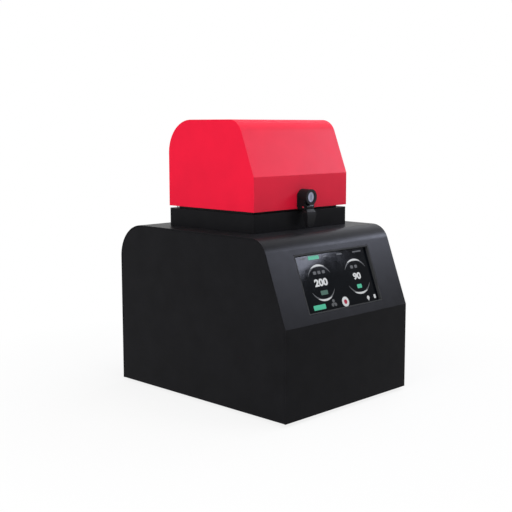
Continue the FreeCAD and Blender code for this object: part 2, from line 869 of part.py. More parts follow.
# --- basket -------------------------------------------------------------------------------
BASKET_SIDE = LID_SIDE - TANK_INNER - S.basket_clear
BASKET_DEEP = S.lid_depth / 2 - TANK_INNER - S.basket_clear_front
BASKET_FLOOR = TANK_FLOOR_TOP + S.basket_stand
BASKET_TOP = COLLAR_TOP - S.basket_drop
BAIL_Z = BASKET_TOP + S.bail_rise
SLOT_ROWS = int(float(BASKET_TOP - BASKET_FLOOR - S.slot_start) // float(S.slot_row_pitch))
FLOOR_SLOTS = 9


def slot_column(middle):
    """The slots one above another at one place along a basket wall."""
    left, right = middle - S.slot_width / 2, middle + S.slot_width / 2
    lows = [BASKET_FLOOR + S.slot_start + row * S.slot_row_pitch for row in range(SLOT_ROWS)]
    return [rectangle(left, low, right, low + S.slot_length) for low in lows]


def slots_between(half):
    """How many slots fit a wall of this half length between its corner posts, and the first's offset."""
    room = 2 * float(half) - 2 * float(S.leg_width)
    count = int(room // float(S.slot_pitch)) + 1
    return count, (count - 1) / 2 * S.slot_pitch


def basket():
    """A folded and slotted sheet basket that stands in the tank on four corner legs."""
    solid = Solid("basket")
    left, right = -BASKET_SIDE, BASKET_SIDE
    front, back = CENTRE_Y - BASKET_DEEP, CENTRE_Y + BASKET_DEEP
    gauge = S.basket_sheet
    solid.pad("XY", TANK_FLOOR_TOP, BASKET_TOP, [rounded(left, front, right, back, S.basket_round)])
    inner = rounded(left + gauge, front + gauge, right - gauge, back - gauge, S.basket_round - gauge)
    solid.pocket("XY", BASKET_FLOOR + gauge, BASKET_TOP, [inner])
    solid.pocket("XY", TANK_FLOOR_TOP, BASKET_FLOOR, [inner])
    leg = S.leg_width
    across = rectangle(left + leg, TANK_FLOOR_TOP, right - leg, BASKET_FLOOR)
    along = rectangle(front + leg, TANK_FLOOR_TOP, back - leg, BASKET_FLOOR)
    solid.pocket("XZ", front - CUT, back + CUT, [across])
    solid.pocket("YZ", left - CUT, right + CUT, [along])
    count, start = slots_between(BASKET_SIDE)
    column = solid.pocket("XZ", front - CUT, back + CUT, slot_column(-start))
    solid.repeat(column, "X", S.slot_pitch, count)
    count, start = slots_between(BASKET_DEEP)
    column = solid.pocket("YZ", left - CUT, right + CUT, slot_column(CENTRE_Y - start))
    solid.repeat(column, "Y", S.slot_pitch, count)
    first = -(FLOOR_SLOTS - 1) / 2 * S.floor_slot_pitch
    half = S.floor_slot_width / 2
    slot = rectangle(first - half, front + leg, first + half, back - leg)
    floor_slot = solid.pocket("XY", BASKET_FLOOR - CUT, BASKET_FLOOR + gauge + CUT, [slot])
    solid.repeat(floor_slot, "X", S.floor_slot_pitch, FLOOR_SLOTS)
    ear_top = BAIL_Z + S.ear_width / 2
    for low, high in ((left, left + gauge), (right - gauge, right)):
        ear = rectangle(CENTRE_Y - S.ear_width / 2, BASKET_TOP, CENTRE_Y + S.ear_width / 2, ear_top)
        solid.pad("YZ", low, high, [ear])
    hole = circle((CENTRE_Y, BAIL_Z), S.bail_rod + S.bail_clear)
    solid.pocket("YZ", left - CUT, right + CUT, [hole])


def basket_bail():
    """A wire bail hooked through the basket's ears, folded flat towards the front."""
    outside = BASKET_SIDE + S.bail_rod + S.bail_gap
    tip = BASKET_SIDE - S.bail_hook
    far = CENTRE_Y - S.bail_reach
    level = BAIL_Z
    points = [(tip, CENTRE_Y, level), (outside, CENTRE_Y, level), (outside, far, level),
              (-outside, far, level), (-outside, CENTRE_Y, level), (-tip, CENTRE_Y, level)]
    feature_part("basket_bail", rod(points, S.bail_rod, S.bail_bend))


# --- drive --------------------------------------------------------------------------------
SHAFT_Z = PLATE_Z - S.shaft_engaged
AXIS = (0, CENTRE_Y)
BLADES = 5


def around(radius, count):
    """Points evenly spaced on a circle about the drive axis."""
    places = []
    for number in range(count):
        angle = 2 * math.pi * number / count
        places.append((radius * math.cos(angle), CENTRE_Y + radius * math.sin(angle)))
    return places


MAGNET_PLACES = around(S.magnet_circle, 4)
MOTOR_SCREWS = around(S.motor_radius - S.motor_screw_inset, 4)


def on_axis(low, radius, high):
    """A cylinder round the drive axis between two levels."""
    return cylinder((0, CENTRE_Y, low), "+Z", radius, high - low)


def magnets(low):
    """A ring of disc magnets, or of the pockets that they sit in."""
    return [cylinder((x, y, low), "+Z", S.magnet_radius, S.magnet_height) for x, y in MAGNET_PLACES]


def motor():
    can = on_axis(PLATE_Z - S.motor_length, S.motor_radius, PLATE_Z)
    pilot = on_axis(PLATE_Z, S.pilot_radius, PLATE_TOP)
    bore = on_axis(SHAFT_Z - CUT, S.shaft_radius + S.running_gap, PLATE_TOP + CUT)
    start = PLATE_Z - S.tapping
    sockets = [cylinder((x, y, start), "+Z", S.screw_radius, S.tapping) for x, y in MOTOR_SCREWS]
    keep("motor_body", cut(fuse([can, pilot]), [bore] + sockets))
    keep("motor_shaft", on_axis(SHAFT_Z, S.shaft_radius, HUB_TOP))


def motor_plate():
    solid = Solid("motor_plate")
    half_width = S.post_across + S.plate_margin
    half_depth = S.post_back + S.plate_margin
    outline = rounded(-half_width, CENTRE_Y - half_depth, half_width, CENTRE_Y + half_depth, S.plate_round)
    holes = [circle(centre, S.screw_radius) for centre in MOTOR_POSTS + MOTOR_SCREWS]
    solid.pad("XY", PLATE_Z, PLATE_TOP, [outline, circle(AXIS, S.pilot_radius)] + holes)


def standoff(x, y, high, radius):
    """A pillar on the tray, tapped at both ends."""
    post = cylinder((x, y, TRAY_TOP), "+Z", radius, high - TRAY_TOP)
    tapping = cylinder((x, y, TRAY_TOP), "+Z", S.screw_radius, high - TRAY_TOP)
    return cut(post, [tapping])


def motor_standoffs():
    posts = [standoff(x, y, PLATE_Z, S.post_radius) for x, y in MOTOR_POSTS]
    keep("motor_standoffs", group(posts))
    keep("motor_screws", group([screw((x, y, PLATE_TOP), "+Z") for x, y in MOTOR_POSTS + MOTOR_SCREWS]))


def drive_hub():
    disc = on_axis(HUB_Z, S.hub_radius, HUB_TOP)
    bore = on_axis(HUB_Z, S.shaft_radius, HUB_TOP)
    keep("drive_hub", cut(disc, [bore] + magnets(HUB_TOP - S.magnet_height)))
    keep("drive_magnets", group(magnets(HUB_TOP - S.magnet_height)))


IMPELLER_Z = TANK_FLOOR_TOP + S.pivot_base + S.impeller_gap
DISC_TOP = IMPELLER_Z + S.impeller_disc
IMPELLER_TOP = DISC_TOP + S.blade_height


def impeller():
    """A disc that carries the driven magnets, under five back-swept blades."""
    base = on_axis(TANK_FLOOR_TOP, S.pivot_base_radius, TANK_FLOOR_TOP + S.pivot_base)
    pin = on_axis(TANK_FLOOR_TOP, S.pivot_radius, IMPELLER_TOP + S.pivot_proud - S.impeller_gap)
    keep("impeller_pivot", fuse([base, pin]))
    disc = on_axis(IMPELLER_Z, S.hub_radius, DISC_TOP)
    hub = on_axis(IMPELLER_Z, S.impeller_hub, IMPELLER_TOP)
    blades = []
    for number in range(BLADES):
        blade = doc.addObject("Part::Feature", "Blade")
        blade.Shape = blade_shape(360 / BLADES * number)
        blades.append(blade)
    bore = on_axis(IMPELLER_Z - CUT, S.pivot_radius + S.running_gap, IMPELLER_TOP + CUT)
    keep("impeller", cut(fuse([disc, hub] + blades), [bore] + magnets(IMPELLER_Z)))
    keep("impeller_magnets", group(magnets(IMPELLER_Z)))


def blade_shape(turn):
    """One blade: a stretch of a thin ring that leaves the hub and bends back to the disc's rim."""
    height = float(S.blade_height)
    curve = float(S.blade_curve)
    reach = float(S.hub_radius) - 1
    start = float(S.blade_offset)
    hub = float(S.impeller_hub)
    ring = Part.makeCylinder(curve, height)
    ring = ring.cut(Part.makeCylinder(curve - float(S.blade_thickness), height))
    ring.translate(FreeCAD.Vector(curve - start - 1, start, 0))
    rim = Part.makeCylinder(reach, height)
    quarter = Part.makeBox(reach, reach, height, FreeCAD.Vector(1 - hub, start, 0))
    blade = ring.common(rim).common(quarter)
    blade.rotate(FreeCAD.Vector(0, 0, 0), FreeCAD.Vector(0, 0, 1), turn)
    blade.translate(FreeCAD.Vector(0, float(CENTRE_Y), float(DISC_TOP)))
    return blade


# --- touch panel, in the slant's own frame: x across, y up the slant, z out of it ---------
GLASS_Z = -S.window_depth
LCD_Z = GLASS_Z - S.glass_thickness
BACK_Z = LCD_Z - S.lcd_thickness
FLANGE_Z = -S.sheet - S.bezel_sheet
SLANT_ORIGIN = (0, Y_FRONT, KINK_Z)
WINDOW_MIDDLE = (S.window_start + WINDOW_TOP) / 2


def panel_part(label):
    solid = Solid(label)
    solid.tilt(SLANT_ORIGIN, SLANT)
    return solid


def touch_panel():
    opening = window_rectangle(S.bezel_wall)
    flange = window_rectangle(S.bezel_wall + S.bezel_flange)
    bezel = panel_part("display_bezel")
    bezel.pad("XY", GLASS_Z, 0, [opening, window_rectangle(0)])
    bezel.pad("XY", FLANGE_Z, -S.sheet, [flange, opening])
    glass = panel_part("touch_glass")
    glass.pad("XY", LCD_Z, GLASS_Z, [opening])
    lcd = panel_part("lcd_module")
    lcd.pad("XY", BACK_Z, LCD_Z, [opening])
    bracket = panel_part("display_bracket")
    bracket.pad("XY", BACK_Z - S.bezel_sheet, FLANGE_Z, [flange])
    bracket.pocket("XY", BACK_Z, FLANGE_Z, [window_rectangle(S.bezel_wall + S.seam)])
    bracket.pocket("XY", BACK_Z - S.bezel_sheet - CUT, BACK_Z + CUT, [window_rectangle(-S.bracket_lip)])


# --- electronics --------------------------------------------------------------------------
BOARD_LEVEL = TRAY_TOP + S.board_lift
BOARD_TOP = BOARD_LEVEL + S.board_sheet
SUPPLY_RIGHT = SIDE - S.supply_side_gap
SUPPLY_LEFT = S.post_across + S.post_radius + S.supply_post_gap
SUPPLY_BACK = Y_BACK - S.supply_back_gap
SUPPLY_FRONT = SUPPLY_BACK - S.supply_depth
SUPPLY_TOP = TRAY_TOP + S.supply_height
SUPPLY_SLOTS = 6
# each chip or socket on the board: its middle as a share of the board's sides, and its size
MOTOR_SOCKET = ((0.38, 0.87), (30, 9, 9))
DISPLAY_SOCKET = ((0.79, 0.10), (16, 6, 8))
CHIPS = [((0.25, 0.27), (14, 14, 2)), ((0.63, 0.27), (18, 12, 4)), ((0.25, 0.56), (12, 16, 12)),
         ((0.65, 0.56), (20, 16, 10)), ((0.78, 0.84), (9, 14, 9)), MOTOR_SOCKET, DISPLAY_SOCKET]


def on_board(chip):
    """Where the middle of a chip lies, and its size."""
    (across, back), size = chip
    return BOARD_LEFT + across * S.board_width, BOARD_FRONT + back * S.board_depth, size


def board():
    low = (BOARD_LEFT, BOARD_FRONT, BOARD_LEVEL)
    sheet = box(low, (BOARD_LEFT + S.board_width, BOARD_FRONT + S.board_depth, BOARD_TOP))
    chips = []
    for chip in CHIPS:
        x, y, size = on_board(chip)
        chips.append(centred_box((x, y, BOARD_TOP + size[2] / 2), size))
    holes = [cylinder((x, y, BOARD_LEVEL), "+Z", S.screw_radius, S.board_sheet) for x, y in BOARD_POSTS]
    keep("controller_board", cut(fuse([sheet] + chips), holes))
    posts = [standoff(x, y, BOARD_LEVEL, S.board_post_radius) for x, y in BOARD_POSTS]
    keep("board_standoffs", group(posts))
    keep("board_screws", group([screw((x, y, BOARD_TOP), "+Z") for x, y in BOARD_POSTS]))


def power_supply():
    """A closed supply with its terminals at the back and air slots in its top."""
    case = box((SUPPLY_LEFT, SUPPLY_FRONT, TRAY_TOP), (SUPPLY_RIGHT, SUPPLY_BACK, SUPPLY_TOP))
    inset = S.terminal_inset
    foot = TRAY_TOP + inset
    terminal = box((SUPPLY_LEFT + inset, SUPPLY_BACK, foot),
                   (SUPPLY_RIGHT - inset, SUPPLY_BACK + S.terminal_depth, foot + S.terminal_height))
    slots = []
    for number in range(SUPPLY_SLOTS):
        start = SUPPLY_FRONT + (number + 1) * S.supply_slot_pitch
        slots.append(box((SUPPLY_LEFT + S.supply_slot_inset, start, SUPPLY_TOP - S.supply_slot_deep),
                         (SUPPLY_RIGHT - S.supply_slot_inset, start + S.supply_slot, SUPPLY_TOP + CUT)))
    keep("power_supply", cut(fuse([case, terminal]), slots))


# --- back wall ----------------------------------------------------------------------------
INLET_FRONT = Y_BACK + S.inlet_flange


def inlet():
    """A three-pin appliance inlet, its pins set back in the recess."""
    level = INLET_Z
    left, right = INLET_X - S.inlet_flange_width / 2, INLET_X + S.inlet_flange_width / 2
    low, high = level - S.inlet_flange_height / 2, level + S.inlet_flange_height / 2
    solid = Solid("inlet_socket")
    solid.pad("XZ", WALL_BACK - S.inlet_depth, Y_BACK, [back_rectangle(level, S.inlet_width, S.inlet_height)])
    solid.pad("XZ", Y_BACK, INLET_FRONT, [rounded(left, low, right, high, S.inlet_flange_round)])
    recess = INLET_FRONT - S.recess_depth
    solid.pocket("XZ", recess, INLET_FRONT, [back_rectangle(level, S.recess_width, S.recess_height)])
    solid.pocket("XZ", Y_BACK - CUT, INLET_FRONT, [circle(centre, S.screw_radius) for centre in INLET_SCREWS])
    seat = INLET_FRONT - S.head_height
    solid.pocket("XZ", seat, INLET_FRONT, [circle(centre, S.screw_head) for centre in INLET_SCREWS])
    for side, rise in ((-1, -1), (0, 1), (1, -1)):
        middle = INLET_X + side * S.pin_pitch / 2
        pin_low = level + rise * S.pin_offset - S.pin_height / 2
        pin = rectangle(middle - S.pin_width / 2, pin_low, middle + S.pin_width / 2, pin_low + S.pin_height)
        solid.pad("XZ", recess, recess + S.pin_length, [pin])
    keep("inlet_screws", group([screw((x, seat, z), "+Y") for x, z in INLET_SCREWS]))


def power_switch():
    level = SWITCH_Z
    face = Y_BACK + S.switch_flange
    mouth_width = S.switch_width - 2 * S.switch_wall
    mouth_height = S.switch_height - 2 * S.switch_lip
    solid = Solid("switch_housing")
    body = back_rectangle(level, S.switch_width, S.switch_height)
    lip = back_rectangle(level, S.switch_width + 2 * S.switch_lip, S.switch_height + 2 * S.switch_lip)
    solid.pad("XZ", WALL_BACK - S.switch_depth, Y_BACK, [body])
    solid.pad("XZ", Y_BACK, face, [lip])
    solid.pocket("XZ", Y_BACK - S.switch_well, face, [back_rectangle(level, mouth_width, mouth_height)])
    rocker = Solid("switch_rocker")
    half = mouth_width / 2 - S.rocker_clear
    reach = mouth_height / 2 - S.rocker_end_clear
    side = Y_BACK - S.rocker_side
    flush = Y_BACK + S.rocker_flush
    outline = [(side, level - reach), (Y_BACK + S.rocker_proud, level - reach), (flush, level),
               (flush, level + reach), (side, level + S.rocker_foot), (Y_BACK - S.rocker_heel, level)]
    rocker.pad("YZ", INLET_X - half, INLET_X + half, [polygon(outline)])


# --- fan ----------------------------------------------------------------------------------
FAN_START = WALL_BACK - S.fan_depth
GUARD_RINGS = 4
ROTOR_BLADES = 7
ROTOR_PITCH = 40.0


def around_fan(low_x, low_z, high_x, high_z):
    """A rectangle given from the fan's middle."""
    x, z = FAN_MIDDLE
    return rectangle(x + low_x, z + low_z, x + high_x, z + high_z)


def fan():
    holes = [circle(centre, S.screw_radius) for centre in FAN_CORNERS]
    half = S.fan_size / 2
    strut = S.strut_width / 2
    near, far = S.stator_radius - 1, S.fan_bore + 1
    strut_end = FAN_START + S.strut_sheet
    x, z = FAN_MIDDLE
    outline = rounded(x - half, z - half, x + half, z + half, S.fan_round)
    frame = Solid("fan_frame")
    frame.pad("XZ", FAN_START, WALL_BACK, [outline, circle(FAN_MIDDLE, S.fan_bore)] + holes)
    frame.pad("XZ", FAN_START, strut_end, [circle(FAN_MIDDLE, S.stator_radius)])
    for sides in ((-far, -strut, -near, strut), (near, -strut, far, strut),
                  (-strut, near, strut, far), (-strut, -far, strut, -near)):
        frame.pad("XZ", FAN_START, strut_end, [around_fan(*sides)])
    frame.pad("XZ", strut_end, strut_end + S.bearing_length, [circle(FAN_MIDDLE, S.bearing_radius)])
    fan_rotor()
    fan_guard(holes)
    seat = Y_BACK + S.guard_sheet
    length = S.screw_length + S.tapping
    keep("fan_screws", group([screw((x, seat, z), "+Y", length=length) for x, z in FAN_CORNERS]))


def fan_guard(holes):
    """Rings joined by two bars that end in the screw ears."""
    guard = Solid("fan_guard")
    rings = []
    for number in range(GUARD_RINGS):
        outer = S.fan_bore - 1 - number * S.guard_pitch
        rings.append(circle(FAN_MIDDLE, outer))
        rings.append(circle(FAN_MIDDLE, outer - S.guard_ring))
    guard.pad("XZ", Y_BACK, Y_BACK + S.guard_sheet, rings)
    reach = S.fan_pitch / 2 * math.sqrt(2) + S.guard_ear
    for turn in (45, 135):
        along = (math.cos(math.radians(turn)), math.sin(math.radians(turn)))
        corners = []
        for end, side in ((-1, -1), (1, -1), (1, 1), (-1, 1)):
            corners.append((FAN_X + end * reach * along[0] - side * S.guard_arm / 2 * along[1],
                            FAN_Z + end * reach * along[1] + side * S.guard_arm / 2 * along[0]))
        guard.pad("XZ", Y_BACK, Y_BACK + S.guard_sheet, [polygon(corners)])
    guard.pocket("XZ", Y_BACK - CUT, Y_BACK + S.guard_sheet + CUT, holes)


def fan_rotor():
    """The fan's hub with pitched blades, round the bearing stub."""
    start = float(FAN_START + S.strut_sheet + S.rotor_gap)
    length = float(WALL_BACK) - start - float(S.rotor_tip_gap)
    centre = FreeCAD.Vector(float(FAN_X), start, float(FAN_Z))
    origin = FreeCAD.Vector(0, 0, 0)
    back = FreeCAD.Vector(0, 1, 0)
    tip = float(S.fan_bore - S.rotor_tip_gap)
    sheet = float(S.rotor_blade)
    chord = length * 1.05
    blade = Part.makeBox(tip, sheet, chord, FreeCAD.Vector(0, -sheet / 2, -chord / 2))
    blade.rotate(origin, FreeCAD.Vector(1, 0, 0), ROTOR_PITCH - 90)
    blade = blade.common(Part.makeCylinder(tip, length, FreeCAD.Vector(0, -length / 2, 0), back))
    rotor = Part.makeCylinder(float(S.stator_radius), length, centre, back)
    for number in range(ROTOR_BLADES):
        copy = blade.copy()
        copy.rotate(origin, back, 360 / ROTOR_BLADES * number)
        copy.translate(centre + back * (length / 2))
        rotor = rotor.fuse(copy)
    bore_depth = float(S.bearing_length + 1)
    bore = Part.makeCylinder(float(S.bearing_radius + S.running_gap), bore_depth, centre, back)
    feature_part("fan_rotor", rotor.cut(bore).removeSplitter())


# --- hinges -------------------------------------------------------------------------------
def hinge_leaves(label, side, screw_level):
    """Two hinge leaves; side is -1 for the collar's, which bear the outer knuckles, 1 for the lid's."""
    end = S.hinge_length / 2
    inner = S.hinge_length / 6
    gap = S.knuckle_gap
    if side < 0:
        knuckles = [(-end, -inner), (inner, end)]
        others = [(-inner, inner)]
    else:
        knuckles = [(gap - inner, inner - gap)]
        others = [(-end, -inner), (inner, end)]
    clear = S.hinge_radius + S.leaf / 2
    low_z, high_z = sorted((HINGE_Z, HINGE_Z + side * S.leaf_height), key=float)
    leaves = []
    for middle in HINGE_MIDDLES:
        pieces = [box((middle - end, LID_BACK, low_z), (middle + end, LID_BACK + S.leaf, high_z))]
        trims = []
        for low, high in knuckles:
            base = (middle + low, HINGE_Y, HINGE_Z)
            pieces.append(cylinder(base, "+X", S.hinge_radius, high - low))
            trims.append(cylinder(base, "+X", S.hinge_pin, high - low))
        for low, high in others:
            trims.append(box((middle + low - gap, LID_BACK - CUT, HINGE_Z - clear),
                             (middle + high + gap, HINGE_Y, HINGE_Z + clear)))
        for hole in (-1, 1):
            base = (middle + hole * S.leaf_hole_pitch / 2, LID_BACK, screw_level)
            trims.append(cylinder(base, "+Y", S.screw_radius, S.leaf))
        leaves.append(cut(fuse(pieces), trims))
    keep(label, group(leaves))


def hinges():
    hinge_leaves("hinge_fixed_leaves", -1, FIXED_SCREW_Z)
    hinge_leaves("hinge_lid_leaves", 1, LID_SCREW_Z)
    pin = S.hinge_pin - S.running_gap
    starts = [(middle - S.hinge_length / 2, HINGE_Y, HINGE_Z) for middle in HINGE_MIDDLES]
    keep("hinge_pins", group([cylinder(start, "+X", pin, S.hinge_length) for start in starts]))
    for label, level in (("hinge_collar_screws", FIXED_SCREW_Z), ("hinge_lid_screws", LID_SCREW_Z)):
        keep(label, group([screw((x, LID_BACK + S.leaf, level), "+Y") for x in LEAF_HOLES_X]))


# --- lid ----------------------------------------------------------------------------------
def lid_shell():
    """One folded and welded skin: front, slant, round top and back, closed at both ends."""
    solid = Solid("lid_shell")
    outline = [(LID_FRONT, LID_Z), (LID_FRONT, LID_Z + S.lid_front_height),
               (LID_FRONT + S.lid_run, LID_TOP), (LID_BACK, LID_TOP), (LID_BACK, LID_Z)]
    solid.pad("YZ", -LID_SIDE, LID_SIDE, [polygon(outline)])
    for (y, z), radius in zip(outline[1:4], (BEND, S.lid_front_round, S.lid_rear_round)):
        solid.fillet(radius, along="x", y=y, z=z)
    solid.shell(S.sheet, [{"z": LID_Z}])
    holes = [circle((x, LID_SCREW_Z), S.screw_radius) for x in LEAF_HOLES_X]
    solid.pocket("XZ", LID_BACK - S.sheet - CUT, LID_BACK + CUT, holes)
    solid.pocket("XZ", LID_FRONT - CUT, LID_FRONT + S.sheet + CUT, [circle(LOCK_MIDDLE, S.lock_neck)])


def lid_frame():
    """The folded ring inside the lid's edge: it presses on the gasket and leaves room for the lock."""
    solid = Solid("lid_frame")
    top = LID_Z + S.frame_lip
    inner = S.gasket_inset + S.gasket_width + S.frame_clear
    solid.pad("XY", LID_Z, top, [lid_rectangle(S.sheet)])
    solid.pocket("XY", LID_Z + S.sheet, top, [lid_rectangle(2 * S.sheet)])
    solid.pocket("XY", LID_Z, LID_Z + S.sheet, [lid_rectangle(inner)])
    lip_room = rectangle(-S.lock_room, LID_Z, S.lock_room, top)
    ring_room = rectangle(-S.lock_room, LID_FRONT, S.lock_room, LID_FRONT + S.gasket_inset)
    solid.pocket("XZ", LID_FRONT, LID_FRONT + 2 * S.sheet, [lip_room])
    solid.pocket("XY", LID_Z, LID_Z + S.sheet, [ring_room])


# --- lock and pull ------------------------------------------------------------------------
LOCK_MIDDLE = (0, LOCK_Z)
LOCK_FACE = LID_FRONT - S.lock_proud
CAM_Y = LID_FRONT + S.sheet + S.keeper_gap
CAM_END = CAM_Y + S.cam_sheet
PULL_Y = LID_FRONT - S.pull_pin_proud
PULL_Z = LOCK_Z - S.pull_drop
PULL_MIDDLE = (PULL_Y, PULL_Z)


def lock_housing():
    """A nose for the lock's plug on a flange, with two ears for the pull's pin under it."""
    solid = Solid("lock_housing")
    half_width = S.lock_flange_width / 2
    middle = LOCK_Z - S.lock_flange_drop
    low, high = middle - S.lock_flange_height / 2, middle + S.lock_flange_height / 2
    flange = rounded(-half_width, low, half_width, high, S.lock_flange_round)
    solid.pad("XZ", LID_FRONT - S.lock_flange, LID_FRONT, [flange])
    nose = LOCK_FACE - S.plug_sunk
    solid.pad("XZ", nose, LID_FRONT, [circle(LOCK_MIDDLE, S.lock_radius)])
    slot = S.pull_slot / 2
    below = PULL_Z - 2 * S.pull_pin_radius
    ear = rectangle(PULL_Y - 2 * S.pull_pin_radius, below, LID_FRONT, LOCK_Z)
    for inner, outer in ((-slot - S.pull_ear, -slot), (slot, slot + S.pull_ear)):
        solid.pad("YZ", inner, outer, [ear])
    neck_end = LID_FRONT + 2 * S.sheet
    solid.pad("XZ", LID_FRONT, neck_end, [circle(LOCK_MIDDLE, S.lock_neck)])
    solid.pocket("XZ", nose, neck_end, [circle(LOCK_MIDDLE, S.plug_radius + S.running_gap)])
    solid.pocket("YZ", -slot, slot, [circle(PULL_MIDDLE, S.pull_knuckle + S.pull_clear)])
    reach = slot + S.pull_ear
    solid.pocket("YZ", -reach, reach, [circle(PULL_MIDDLE, S.pull_pin_radius)])


def lock():
    """A key-operated cam lock: its plug turns the cam under the keeper's hook."""
    lock_housing()
    back = LID_FRONT + S.sheet
    ring = cylinder((0, back, LOCK_Z), "+Y", S.lock_nut_radius, S.lock_nut)
    neck = cylinder((0, back, LOCK_Z), "+Y", S.lock_neck, S.lock_nut)
    keep("lock_nut", cut(ring, [neck]))
    plug = cylinder((0, LOCK_FACE, LOCK_Z), "+Y", S.plug_radius, CAM_Y - LOCK_FACE)
    keyway = centred_box((0, LOCK_FACE + S.keyway_depth / 2, LOCK_Z),
                         (S.keyway_width, S.keyway_depth, S.keyway_height))
    keep("lock_plug", cut(plug, [keyway]))
    tip = LOCK_Z - S.cam_length + S.cam_half
    bar = box((-S.cam_half, CAM_Y, tip), (S.cam_half, CAM_END, LOCK_Z))
    boss = cylinder((0, CAM_Y, LOCK_Z), "+Y", S.cam_boss, S.cam_sheet)
    end = cylinder((0, CAM_Y, tip), "+Y", S.cam_half, S.cam_sheet)
    keep("lock_cam", fuse([bar, boss, end]))


def keeper():
    """The hook on the collar that the lock's cam turns under."""
    solid = Solid("lock_keeper")
    start, end = S.keeper_start, S.keeper_start + S.keeper_width
    top = LOCK_Z + S.keeper_rise
    nose = top - S.keeper_nose
    hook = [(start, COLLAR_TOP), (end, COLLAR_TOP), (end, top), (start - S.keeper_reach, top),
            (start - S.keeper_reach, nose), (start, nose)]
    solid.pad("XZ", CAM_Y, CAM_END, [polygon(hook)])


def pull():
    """The drop pull: widest under the pin, tapering to a rounded tongue before the collar."""
    top = PULL_Z
    low = BODY_TOP + S.pull_lift
    half = S.pull_width / 2
    neck = S.pull_slot / 2 - S.pull_clear
    tip = S.pull_tip / 2
    profile = [
        (PULL_Y + S.pull_back, top - S.pull_shoulder),
        (PULL_Y + S.pull_waist_back, top - S.pull_waist),
        (PULL_Y - S.pull_tip_back, low + S.pull_foot),
        (PULL_Y - S.pull_tip_back, low),
        (PULL_Y - S.pull_tip_front, low),
        (PULL_Y - S.pull_belly_front, top - S.pull_belly),
        (PULL_Y - S.pull_brow_front, top - S.pull_brow),
        (PULL_Y - S.pull_eye_front, top - S.pull_eye),
    ]
    belly = half - S.pull_belly_in
    right = [(tip, low), (belly, top - S.pull_belly), (half, top - S.pull_widest),
             (neck, top - S.pull_shoulder), (neck, top)]
    left = [(-x, z) for x, z in reversed(right)]
    tongue = left + right
    solid = Solid("pull_handle")
    solid.pad("YZ", -half, half, [polygon(profile)])
    around_it = rectangle(-S.pull_width, low - S.pull_width, S.pull_width, top + S.pull_width)
    solid.pocket("XZ", PULL_Y - S.pull_width, PULL_Y + S.pull_width, [around_it, polygon(tongue)])
    for x in (-tip, tip):
        solid.fillet(S.pull_tip_round, along="y", x=x, z=low)
    solid.pad("YZ", -neck, neck, [circle(PULL_MIDDLE, S.pull_knuckle)])
    solid.pocket("YZ", -S.pull_width, S.pull_width, [circle(PULL_MIDDLE, S.pull_pin_radius + S.running_gap)])
    reach = S.pull_slot / 2 + S.pull_ear
    keep("pull_pin", cylinder((-reach, *PULL_MIDDLE), "+X", S.pull_pin_radius, 2 * reach))


def lid_sensing():
    """A reed switch under the collar's top and the magnet that it senses, in the lid."""
    y = LID_FRONT + S.sensor_inset
    across = LID_SIDE - S.sensor_side_gap
    left, right = across - S.sensor_width / 2, across + S.sensor_width / 2
    top = COLLAR_TOP - S.sheet
    keep("lid_sensor", box((left, y, top - S.sensor_height), (right, y + S.sensor_depth, top)))
    middle = y + S.sensor_magnet_depth / 2
    seat = LID_Z + S.sheet + S.sensor_magnet_height / 2
    magnet = (S.sensor_magnet_width, S.sensor_magnet_depth, S.sensor_magnet_height)
    keep("sensor_magnet", centred_box((across, middle, seat), magnet))


# --- wiring held inside -------------------------------------------------------------------
def behind_slant(x, up, depth):
    """A point given across, up the slant from its crease, and behind its face."""
    lean = math.radians(float(SLANT))
    y = Y_FRONT + up * math.cos(lean) + depth * math.sin(lean)
    z = KINK_Z + up * math.sin(lean) - depth * math.cos(lean)
    return x, y, z


def harnesses():
    """The mains lead to the supply, and the board's leads to the motor and the display."""
    terminal = SUPPLY_BACK + S.terminal_depth
    corner = terminal + S.terminal_height
    across = (SUPPLY_LEFT + SUPPLY_RIGHT) / 2
    feed = TRAY_TOP + S.terminal_inset + S.terminal_height / 2
    mains = [(INLET_X, WALL_BACK - S.inlet_depth, INLET_Z),
             (INLET_X, corner, INLET_Z), (INLET_X, corner, feed),
             (across, corner, feed), (across, terminal, feed)]
    feature_part("mains_harness", rod(mains, S.mains_radius, S.mains_bend))
    x, y, size = on_board(MOTOR_SOCKET)
    level = BOARD_TOP + size[2] / 2
    lead = [(x, y + size[1] / 2, level), (x, CENTRE_Y, level), (-S.motor_radius, CENTRE_Y, level)]
    feature_part("motor_harness", rod(lead, S.lead_radius, S.lead_bend))
    x, y, size = on_board(DISPLAY_SOCKET)
    start = behind_slant(x, WINDOW_MIDDLE, -BACK_Z)
    reach = (y - start[1]) / math.sin(math.radians(float(SLANT)))
    turn = behind_slant(x, WINDOW_MIDDLE, reach - BACK_Z)
    ribbon = [start, turn, (x, y, BOARD_TOP + size[2])]
    feature_part("display_harness", rod(ribbon, S.lead_radius, S.mains_bend))


for build in (casing_wrap, side_panels, base_tray, feet, panel_screws, collar, gasket, tank_well, wash_tank,
              basket, basket_bail, motor, motor_plate, motor_standoffs, drive_hub, impeller, touch_panel,
              board, power_supply, inlet, power_switch, fan, hinges, lid_shell, lid_frame, lock, keeper,
              pull, lid_sensing, harnesses):
    build()
doc.recompute()

faults = [item.Name for item in doc.Objects if "Invalid" in item.State or "Error" in item.State]
for label, item in PARTS.items():
    if item.Shape.isNull() or not item.Shape.isValid() or not item.Shape.Solids:
        faults.append(label)
if faults:
    raise RuntimeError(f"failed: {faults}")

os.makedirs("parts", exist_ok=True)
for label, item in PARTS.items():
    item.Shape.exportStep(f"parts/{label}.step")
print(len(PARTS), "sub-parts")
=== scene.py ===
"""Looks of the resin wash station: materials, touch-panel picture, light, floor and camera."""
import json
import math

